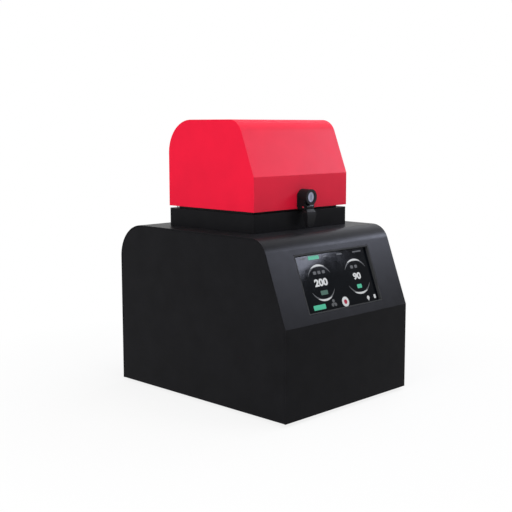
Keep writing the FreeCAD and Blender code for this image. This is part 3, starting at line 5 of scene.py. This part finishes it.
import bmesh
import bpy
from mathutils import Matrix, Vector


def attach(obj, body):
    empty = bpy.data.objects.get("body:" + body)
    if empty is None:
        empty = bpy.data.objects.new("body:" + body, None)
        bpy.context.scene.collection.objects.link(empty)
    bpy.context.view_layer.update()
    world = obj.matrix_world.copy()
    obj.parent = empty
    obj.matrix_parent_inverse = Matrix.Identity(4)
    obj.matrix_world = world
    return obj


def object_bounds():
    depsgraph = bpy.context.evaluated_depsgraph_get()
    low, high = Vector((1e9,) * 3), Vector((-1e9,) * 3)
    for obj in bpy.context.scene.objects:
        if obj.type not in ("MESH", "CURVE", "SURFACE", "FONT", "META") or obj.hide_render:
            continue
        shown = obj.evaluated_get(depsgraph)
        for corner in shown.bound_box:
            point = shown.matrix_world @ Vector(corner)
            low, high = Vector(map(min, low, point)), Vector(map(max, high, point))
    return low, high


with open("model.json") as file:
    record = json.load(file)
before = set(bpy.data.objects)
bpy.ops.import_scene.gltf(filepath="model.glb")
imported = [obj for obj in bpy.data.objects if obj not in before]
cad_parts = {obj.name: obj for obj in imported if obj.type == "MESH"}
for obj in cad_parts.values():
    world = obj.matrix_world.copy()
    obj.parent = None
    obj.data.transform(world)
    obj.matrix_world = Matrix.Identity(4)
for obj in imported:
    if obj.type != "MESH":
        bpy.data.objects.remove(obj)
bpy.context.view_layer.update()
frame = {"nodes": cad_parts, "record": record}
NODES = frame["nodes"]
MM = 0.001


def link(obj):
    bpy.context.scene.collection.objects.link(obj)
    return obj


# --- materials ----------------------------------------------------------------------------
# Nearly all of a noise texture's values lie between these two.
NOISE_RANGE = (0.3, 0.7)


class Paint:
    """A node material, built up from the Principled shader's sockets. Its sizes are metres."""

    def __init__(self, name, colour, roughness, metallic=0.0, specular=0.5):
        self.name = name
        self.material = bpy.data.materials.new(name)
        self.material.use_nodes = True
        self.tree = self.material.node_tree
        self.shader = self.tree.nodes["Principled BSDF"]
        self.colour = (*colour, 1.0)
        self.roughness = roughness
        self.set("Base Color", self.colour)
        self.set("Roughness", roughness)
        self.set("Metallic", metallic)
        self.set("Specular IOR Level", specular)
        self.coordinates = self.tree.nodes.new("ShaderNodeTexCoord").outputs["Object"]
        self.height = None

    def set(self, socket, value):
        self.shader.inputs[socket].default_value = value

    def noise(self, size, detail=3.0, stretch=(1, 1, 1)):
        """Noise whose grains are about this far across."""
        mapping = self.tree.nodes.new("ShaderNodeMapping")
        mapping.inputs["Scale"].default_value = stretch
        self.tree.links.new(self.coordinates, mapping.inputs["Vector"])
        texture = self.tree.nodes.new("ShaderNodeTexNoise")
        texture.inputs["Scale"].default_value = 1 / size
        texture.inputs["Detail"].default_value = detail
        self.tree.links.new(mapping.outputs["Vector"], texture.inputs["Vector"])
        return texture.outputs["Fac"]

    def cells(self, size):
        """A pattern of cells that are about this far across."""
        texture = self.tree.nodes.new("ShaderNodeTexVoronoi")
        texture.inputs["Scale"].default_value = 1 / size
        self.tree.links.new(self.coordinates, texture.inputs["Vector"])
        return texture.outputs["Distance"]

    def spread(self, source, low, high, between=NOISE_RANGE):
        """Spreads the source's values between these two over those from low to high."""
        node = self.tree.nodes.new("ShaderNodeMapRange")
        node.inputs["From Min"].default_value = between[0]
        node.inputs["From Max"].default_value = between[1]
        node.inputs["To Min"].default_value = low
        node.inputs["To Max"].default_value = high
        self.tree.links.new(source, node.inputs["Value"])
        return node.outputs["Result"]

    def vary_roughness(self, source, by):
        spread = self.spread(source, self.roughness - by, self.roughness + by)
        self.tree.links.new(spread, self.shader.inputs["Roughness"])
        return self

    def vary_colour(self, source, factor):
        """Lets the colour drift to one that is lighter, or darker, by this factor."""
        ramp = self.tree.nodes.new("ShaderNodeValToRGB")
        first, last = ramp.color_ramp.elements
        first.position, last.position = NOISE_RANGE
        first.color = self.colour
        last.color = (*lighter(self.colour[:3], factor), 1.0)
        self.tree.links.new(source, ramp.inputs["Fac"])
        self.tree.links.new(ramp.outputs["Color"], self.shader.inputs["Base Color"])
        return self

    def bump(self, source, depth, strength):
        node = self.tree.nodes.new("ShaderNodeBump")
        node.inputs["Distance"].default_value = depth
        node.inputs["Strength"].default_value = strength
        self.tree.links.new(source, node.inputs["Height"])
        if self.height:
            self.tree.links.new(self.height, node.inputs["Normal"])
        self.height = node.outputs["Normal"]
        self.tree.links.new(self.height, self.shader.inputs["Normal"])
        return self


def lighter(colour, factor):
    return tuple(min(1.0, part * factor) for part in colour)


def powder_coat(name, colour, roughness=0.34, specular=0.03):
    """Baked powder paint: a fine orange peel and a slight change of gloss."""
    paint = Paint(name, colour, roughness, specular=specular)
    paint.vary_colour(paint.noise(0.03), factor=1.25)
    paint.vary_roughness(paint.noise(0.012), by=0.03)
    return paint.bump(paint.noise(0.0007, detail=2.0), depth=0.00003, strength=0.35)


def gloss_paint(name, colour, roughness=0.55, specular=0.07):
    """Smooth sprayed paint: almost no peel, and an even sheen."""
    paint = Paint(name, colour, roughness, specular=specular)
    paint.vary_colour(paint.noise(0.05), factor=0.93)
    paint.vary_roughness(paint.noise(0.02), by=0.015)
    return paint.bump(paint.noise(0.0022, detail=2.0), depth=0.00002, strength=0.25)


def moulded(name, colour, roughness=0.5, grain=0.0005, specular=0.2):
    """Moulded plastic with a spark-eroded texture."""
    paint = Paint(name, colour, roughness, specular=specular)
    paint.vary_colour(paint.noise(0.01), factor=1.2)
    paint.vary_roughness(paint.noise(0.006), by=0.06)
    return paint.bump(paint.cells(grain), depth=0.00002, strength=0.5)


def brushed(name, colour, roughness, scratches, grain=0.006):
    """Metal with fine straight scratches, which run the way that along or turned says."""
    paint = Paint(name, colour, roughness, metallic=1.0)
    lines = paint.noise(grain, detail=4.0, stretch=scratches)
    paint.vary_roughness(lines, by=0.08)
    paint.vary_colour(paint.noise(0.02), factor=0.88)
    paint.set("Anisotropic", 0.4)
    return paint.bump(lines, depth=0.00001, strength=0.4)


def along(axis, fineness):
    """Scratches along this axis, so many times as long as they are wide."""
    return tuple(1 if letter == axis else fineness for letter in "xyz")


def turned(fineness):
    """The level rings that a lathe or a roller leaves."""
    return (1, 1, fineness)


def plated(fineness):
    """Specks of an even size."""
    return (fineness, fineness, fineness)


def rubber(name, colour):
    paint = Paint(name, colour, roughness=0.75, specular=0.25)
    paint.vary_colour(paint.noise(0.004), factor=1.6)
    paint.vary_roughness(paint.noise(0.003), by=0.08)
    return paint.bump(paint.noise(0.0004, detail=2.0), depth=0.00004, strength=0.5)


def clear_glass(name, colour):
    """Black glass with faint waves in it."""
    paint = Paint(name, colour, roughness=0.08, specular=0.03)
    paint.vary_roughness(paint.noise(0.02), by=0.03)
    return paint.bump(paint.noise(0.03, detail=1.0), depth=0.00001, strength=0.1)


def lamp_paint(name, colour, strength):
    """A patch of the lit display, a little uneven in its light."""
    paint = Paint(name, lighter(colour, 0.3), roughness=0.25, specular=0.03)
    glow = paint.noise(0.0006, detail=1.0)
    paint.tree.links.new(paint.spread(glow, strength * 0.9, strength * 1.05),
                         paint.shader.inputs["Emission Strength"])
    paint.set("Emission Color", (*colour, 1.0))
    return paint


BLACK = (0.0083, 0.0083, 0.0094)
RED = (0.86, 0.012, 0.045)
STEEL = (0.55, 0.55, 0.56)
SLOT_PAINTS = (
    powder_coat("body_black", BLACK),
    powder_coat("tray_black", BLACK, roughness=0.5),
    gloss_paint("lid_red", RED),
    brushed("lid_frame_steel", STEEL, 0.35, along("x", 40)),
    rubber("black_rubber", (0.015, 0.015, 0.015)),
    brushed("steel_screw", (0.30, 0.30, 0.31), 0.3, along("y", 10), grain=0.002),
    brushed("stainless", (0.62, 0.62, 0.63), 0.27, turned(40)),
    moulded("tank_plastic", (0.62, 0.64, 0.62), roughness=0.42, grain=0.0009),
    moulded("black_plastic", (0.032, 0.033, 0.034), specular=0.25),
    clear_glass("touch_glass", (0.004, 0.005, 0.007)),
    moulded("panel_electronics", (0.015, 0.09, 0.04), roughness=0.35),
    brushed("zinc_sheet", (0.58, 0.58, 0.60), 0.38, along("y", 40)),
    powder_coat("guard_wire", (0.02, 0.02, 0.02), roughness=0.35),
    brushed("motor_can", (0.40, 0.40, 0.42), 0.35, turned(30)),
    brushed("ground_steel", (0.66, 0.66, 0.67), 0.2, along("y", 30), grain=0.003),
    brushed("hub_aluminium", (0.76, 0.77, 0.79), 0.3, turned(60)),
    brushed("magnet_nickel", (0.78, 0.77, 0.74), 0.12, plated(4), grain=0.004),
    moulded("impeller_plastic", (0.80, 0.80, 0.77), roughness=0.4),
    powder_coat("hinge_black", (0.015, 0.015, 0.016), roughness=0.38),
    powder_coat("lock_black", (0.008, 0.008, 0.009), roughness=0.4, specular=0.08),
    brushed("lock_silver", (0.27, 0.28, 0.36), 0.35, along("z", 30), grain=0.003),
    brushed("lock_steel", (0.58, 0.58, 0.56), 0.3, turned(40)),
    rubber("cable_black", (0.018, 0.018, 0.018)),
)
# The window's edge is the same plastic with a duller face, so that it doesn't frame the glass.
# Its colour is a little lighter than the black plastic's: painted light, so that the window's
# inner walls look lit from the left.
window_edge = moulded("window_edge", (0.042, 0.043, 0.045), specular=0.01)


def paint_nodes():
    """Gives every CAD node the material of its slot, whose paint has the slot's name."""
    of_slot = {paint.name: paint.material for paint in SLOT_PAINTS}
    for row in frame["record"]["subparts"]:
        node = NODES[row["node"]]
        node.data.materials.clear()
        node.data.materials.append(of_slot[row["material_slot"]])
    # The bezel takes the lighter copy of the black plastic, whose colour paints light on the
    # window's inner walls.
    NODES["display_bezel"].data.materials[0] = window_edge.material


paint_nodes()


# --- broken edges -------------------------------------------------------------------------
# Lengths are millimetres: how wide the edges are broken, and on which nodes.
WELD_REACH = 0.01
FLAT_WITHIN = math.radians(0.5)
SHARP_FROM = math.radians(35)
EDGE_BREAKS = {
    0.5: ("casing_wrap", "left_side_panel", "right_side_panel", "collar", "lid_shell"),
    0.6: ("lock_housing", "pull_handle"),
    0.25: ("hinge_fixed_leaves", "hinge_lid_leaves", "inlet_socket", "switch_housing",
           "switch_rocker", "fan_guard", "rubber_feet", "display_bezel"),
}


def soften(node, width):
    """Breaks the sharp edges of a CAD node by this many millimetres, so that they catch light."""
    node.data.shade_smooth()
    weld = node.modifiers.new("weld", "WELD")
    weld.merge_threshold = WELD_REACH * MM
    flatten = node.modifiers.new("flatten", "DECIMATE")
    flatten.decimate_type = "DISSOLVE"
    flatten.angle_limit = FLAT_WITHIN
    bevel = node.modifiers.new("bevel", "BEVEL")
    bevel.width = width * MM
    bevel.segments = 2
    bevel.limit_method = "ANGLE"
    bevel.angle_limit = SHARP_FROM
    even = node.modifiers.new("even", "WEIGHTED_NORMAL")
    even.mode = "FACE_AREA"


for width, names in EDGE_BREAKS.items():
    for name in names:
        soften(NODES[name], width)


# --- touch panel picture ------------------------------------------------------------------
# The picture lies on the glass. Its places and sizes are millimetres: across from the middle,
# and up the slope from the casing's lower crease. It shows plain dials and numbers, no words.
CREASE = Vector((0, -179, 134))
SLANT_RISE = 119
SLANT_RUN = 44.5
SLOPE = math.atan2(SLANT_RISE, SLANT_RUN)
UP_SLOPE = Vector((0, math.cos(SLOPE), math.sin(SLOPE)))
OUT = Vector((0, -math.sin(SLOPE), math.cos(SLOPE)))
GLASS_SUNK = 4.5
INK_GAP = 0.02
INK = 0.06
HAIRLINE = 0.25
SWELL = 0.8
DIGIT_WEIGHT = 0.045
DIGIT_STRETCH = 1.32
CORNER_STEPS = 4
DISC_STEPS = 32
ARC_STEPS = 28


def on_glass(across, up, lift):
    place = CREASE + Vector((across, 0, 0)) + UP_SLOPE * up + OUT * (lift - GLASS_SUNK)
    return place * MM


def on_circle(across, up, radius, degrees):
    angle = math.radians(degrees)
    return across + radius * math.cos(angle), up + radius * math.sin(angle)


class Picture:
    """Everything of one colour on the display, as thin plates in one mesh."""

    def __init__(self, name, colour, strength):
        self.name = name
        self.paint = lamp_paint(name, colour, strength)
        self.mesh = bmesh.new()

    def plate(self, points, level=0.0):
        """A thin plate with this outline, given as points across and up the slope."""
        bottom = INK_GAP + level
        low = [self.mesh.verts.new(on_glass(*point, bottom)) for point in points]
        high = [self.mesh.verts.new(on_glass(*point, bottom + INK)) for point in points]
        self.mesh.faces.new(high)
        self.mesh.faces.new(low[::-1])
        for step in range(len(points)):
            after = (step + 1) % len(points)
            self.mesh.faces.new((low[step], low[after], high[after], high[step]))

    def block(self, across, up, wide, tall):
        """A bar with sharp corners."""
        right, top = across + wide / 2, up + tall / 2
        left, bottom = across - wide / 2, up - tall / 2
        self.plate([(left, bottom), (right, bottom), (right, top), (left, top)])

    def bar(self, across, up, wide, tall, corner):
        """A bar with rounded corners."""
        points = []
        for turn, (side, rise) in enumerate(((1, 1), (-1, 1), (-1, -1), (1, -1))):
            middle = (across + side * (wide / 2 - corner), up + rise * (tall / 2 - corner))
            for step in range(CORNER_STEPS + 1):
                points.append(on_circle(*middle, corner, 90 * (turn + step / CORNER_STEPS)))
        self.plate(points)

    def disc(self, across, up, radius, level=0.0):
        turns = [360 * step / DISC_STEPS for step in range(DISC_STEPS)]
        self.plate([on_circle(across, up, radius, turn) for turn in turns], level)

    def crescent(self, across, up, radius, thickest, start, end, level=0.0):
        """An arc of a dial that swells from a hairline at its ends to its full width."""
        outer, inner = [], []
        for step in range(ARC_STEPS + 1):
            part = step / ARC_STEPS
            turn = start + (end - start) * part
            width = HAIRLINE + (thickest - HAIRLINE) * math.sin(math.pi * part) ** SWELL
            outer.append(on_circle(across, up, radius, turn))
            inner.append(on_circle(across, up, radius - width, turn))
        for step in range(ARC_STEPS):
            self.plate([outer[step], outer[step + 1], inner[step + 1], inner[step]], level)

    def number(self, text, across, up, tall):
        """Digits, from Blender's own plain font, made bolder and wider."""
        data = bpy.data.curves.new(self.name + "_digits", "FONT")
        data.body = text
        data.align_x = "CENTER"
        data.align_y = "CENTER"
        data.offset = DIGIT_WEIGHT
        data.resolution_u = 6
        shape = link(bpy.data.objects.new(self.name + "_digits", data))
        bpy.context.view_layer.update()
        graph = bpy.context.evaluated_depsgraph_get()
        flat = bpy.data.meshes.new_from_object(shape.evaluated_get(graph))
        heights = [v.co.y for v in flat.vertices]
        sides = [v.co.x for v in flat.vertices]
        size = tall / (max(heights) - min(heights))
        middle = ((max(sides) + min(sides)) / 2, (max(heights) + min(heights)) / 2)
        places = [(across + (v.co.x - middle[0]) * size * DIGIT_STRETCH,
                   up + (v.co.y - middle[1]) * size) for v in flat.vertices]
        for polygon in flat.polygons:
            self.plate([places[index] for index in polygon.vertices])
        bpy.data.objects.remove(shape)

    def done(self):
        mesh = bpy.data.meshes.new(self.name)
        bmesh.ops.remove_doubles(self.mesh, verts=self.mesh.verts, dist=0.000001)
        bmesh.ops.recalc_face_normals(self.mesh, faces=self.mesh.faces)
        self.mesh.to_mesh(mesh)
        self.mesh.free()
        mesh.materials.append(self.paint.material)
        piece = link(bpy.data.objects.new(self.name, mesh))
        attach(piece, "root")


DIAL_UP = 55.5
DIALS_ACROSS = (-35.8, 45.0)
DIAL_ARCS = ((28, 154), (206, 334))
FAINT_RADIUS, FAINT_WIDTH = 26.9, 3.2
BRIGHT_RADIUS, BRIGHT_WIDTH = 26.7, 3.0
BRIGHT_SHORTER = 30
NUMBER_UP = 56.0
CAPTION_UP = 70.5
CAPTION_PITCH = 9.5
TABS_UP = 92.4
FAN_ACROSS, FAN_UP = -21, 23.3
FAN_REACH = 3.6
STOP_ACROSS, STOP_UP = 4.3, 22.3
BULB_ACROSS = 56.5

white = Picture("display_white", (0.84, 0.86, 0.87), 0.45)
dial = Picture("display_dial", (0.88, 0.90, 0.91), 0.36)
grey = Picture("display_grey", (0.25, 0.26, 0.27), 0.12)
teal = Picture("display_teal", (0.10, 0.60, 0.38), 0.5)
dull = Picture("display_dull_teal", (0.12, 0.26, 0.20), 0.24)
red = Picture("display_red", (0.5, 0.03, 0.07), 0.4)


def draw_dials():
    """Two dials, each with an arc over and under its number, and a caption of plain blocks."""
    for across in DIALS_ACROSS:
        for start, end in DIAL_ARCS:
            grey.crescent(across, DIAL_UP, FAINT_RADIUS, FAINT_WIDTH, start, end)
            dial.crescent(across, DIAL_UP, BRIGHT_RADIUS, BRIGHT_WIDTH,
                          start + BRIGHT_SHORTER, end - BRIGHT_SHORTER, level=INK)
    for across, sides in ((-35.3, (-1, 0, 1)), (42.5, (-0.5, 0.5))):
        for side in sides:
            grey.bar(across + side * CAPTION_PITCH, CAPTION_UP, wide=6.0, tall=4.6, corner=1.2)
    white.number("200", -36.4, NUMBER_UP, tall=11.0)
    white.number("90", 44.3, NUMBER_UP, tall=10.4)
    dull.bar(-35.0, 41.0, wide=15.0, tall=6.4, corner=1.2)
    teal.bar(44.0, 40.7, wide=10.5, tall=6.0, corner=1.4)


def draw_tabs():
    """The row of tabs along the top: one lit, the others short dim bars."""
    teal.bar(-38.5, TABS_UP + 0.2, wide=23.0, tall=5.4, corner=1.0)
    for across, wide in ((-61.0, 9.0), (-14.5, 9.0), (18.0, 12.0), (58.0, 20.0)):
        grey.bar(across, TABS_UP, wide, tall=2.0, corner=0.9)


def draw_buttons():
    """The row along the bottom: a lit key, a fan, a stop button, a bulb and a small key."""
    teal.bar(-52.2, 21.7, wide=25.5, tall=7.0, corner=1.6)
    for blade in range(3):
        grey.disc(*on_circle(FAN_ACROSS, FAN_UP, FAN_REACH, 90 + 120 * blade), radius=2.6)
    grey.disc(FAN_ACROSS, FAN_UP, radius=1.2, level=0.03)
    white.disc(STOP_ACROSS, STOP_UP, radius=7.4)
    red.disc(STOP_ACROSS, STOP_UP, radius=3.4, level=INK + 0.02)
    white.disc(BULB_ACROSS, 21.5, radius=2.9)
    white.block(BULB_ACROSS, 18.6, wide=1.6, tall=3.0)
    white.bar(72.0, 21.6, wide=4.6, tall=6.0, corner=1.2)


draw_dials()
draw_tabs()
draw_buttons()
for picture in (white, dial, grey, teal, dull, red):
    picture.done()


# --- light --------------------------------------------------------------------------------
low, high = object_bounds()
middle = (low + high) / 2


def area_light(name, place, size, power, colour=(1, 1, 1), sheen_only=False):
    """A soft lamp that looks at the object. One for sheen shows in reflections alone."""
    data = bpy.data.lights.new(name, "AREA")
    data.shape = "RECTANGLE"
    data.size, data.size_y = size
    data.energy = power
    data.color = colour
    lamp = link(bpy.data.objects.new(name, data))
    lamp.visible_diffuse = not sheen_only
    lamp.location = place
    lamp.rotation_euler = (middle - Vector(place)).to_track_quat("-Z", "Y").to_euler()


area_light("key_left", (-1.65, -0.3, 0.95), size=(1.3, 1.3), power=22)
area_light("top_soft", (0.1, -0.6, 1.9), size=(1.4, 1.2), power=23)
area_light("sheen_right", (1.48, -0.80, 0.91), size=(1.1, 0.25), power=41,
           colour=(0.90, 0.95, 1.17), sheen_only=True)
area_light("fill_right", (1.35, 0.12, 1.4), size=(1.6, 1.0), power=13, colour=(0.94, 0.97, 1.08))

WHITE = (1.0, 1.0, 1.0, 1)
ROOM_GREY = (0.12, 0.12, 0.123, 1)


def backdrop_rays(tree):
    """One for rays that should find the plain white backdrop: seen, mirrored or through glass."""
    path = tree.nodes.new("ShaderNodeLightPath")
    total = path.outputs["Is Camera Ray"]
    for kind in ("Is Glossy Ray", "Is Transmission Ray"):
        either = tree.nodes.new("ShaderNodeMath")
        either.operation = "MAXIMUM"
        tree.links.new(total, either.inputs[0])
        tree.links.new(path.outputs[kind], either.inputs[1])
        total = either.outputs[0]
    return total


def studio_room():
    """A white backdrop to look at, which lights the object only as a dim grey room."""
    world = bpy.data.worlds.new("studio")
    bpy.context.scene.world = world
    world.use_nodes = True
    tree = world.node_tree
    background = tree.nodes["Background"]
    background.inputs["Strength"].default_value = 1.0
    mix = tree.nodes.new("ShaderNodeMix")
    mix.data_type = "RGBA"
    mix.inputs["A"].default_value = ROOM_GREY
    mix.inputs["B"].default_value = WHITE
    tree.links.new(backdrop_rays(tree), mix.inputs["Factor"])
    tree.links.new(mix.outputs["Result"], background.inputs["Color"])


studio_room()

# --- floor --------------------------------------------------------------------------------
# The shadow is kept up to the first of these distances from the middle, and gone at the second.
SHADOW_ENDS = (0.2, 0.6)
WHITE_SHARE_NEAR = 0.85
FLOOR_REACH = 6.0


def floor_look():
    """A pale floor that turns into the white backdrop, except for the object's shadow."""
    paint = Paint("floor", (0.8, 0.8, 0.8), roughness=0.9, specular=0.1)
    tree = paint.tree
    glow = tree.nodes.new("ShaderNodeEmission")
    glow.inputs["Color"].default_value = WHITE
    # Near the object some of the floor's own shading shows, so that it keeps the shadow.
    away = tree.nodes.new("ShaderNodeVectorMath")
    away.operation = "LENGTH"
    tree.links.new(paint.coordinates, away.inputs[0])
    fade = paint.spread(away.outputs["Value"], WHITE_SHARE_NEAR, 1.0, between=SHADOW_ENDS)
    share = tree.nodes.new("ShaderNodeMath")
    share.operation = "MULTIPLY"
    tree.links.new(fade, share.inputs[0])
    tree.links.new(backdrop_rays(tree), share.inputs[1])
    blend = tree.nodes.new("ShaderNodeMixShader")
    tree.links.new(share.outputs[0], blend.inputs["Fac"])
    tree.links.new(paint.shader.outputs[0], blend.inputs[1])
    tree.links.new(glow.outputs[0], blend.inputs[2])
    tree.links.new(blend.outputs[0], tree.nodes["Material Output"].inputs["Surface"])
    return paint.material


corners = [(side * FLOOR_REACH, depth * FLOOR_REACH, 0)
           for side, depth in ((-1, -1), (1, -1), (1, 1), (-1, 1))]
floor_mesh = bpy.data.meshes.new("floor")
floor_mesh.from_pydata(corners, [], [(0, 1, 2, 3)])
floor_mesh.materials.append(floor_look())
floor = link(bpy.data.objects.new("floor", floor_mesh))

# --- camera, fitted to the photograph's edges ---------------------------------------------
CAMERA_PLACE = (-1.0384, -1.0212, 0.4044)
VIEW_TURN = math.radians(45.976)
VIEW_DOWN = math.radians(7.281)

camera_data = bpy.data.cameras.new("camera")
camera_data.sensor_width = 36
camera_data.lens = 66.62
camera_data.shift_x = -0.0253
camera_data.shift_y = -0.0178
camera_data.clip_start = 0.05
camera = link(bpy.data.objects.new("camera", camera_data))
camera.location = CAMERA_PLACE
camera.rotation_euler = (math.pi / 2 - VIEW_DOWN, 0, -VIEW_TURN)
bpy.context.scene.camera = camera
bpy.context.scene.view_settings.view_transform = "Standard"
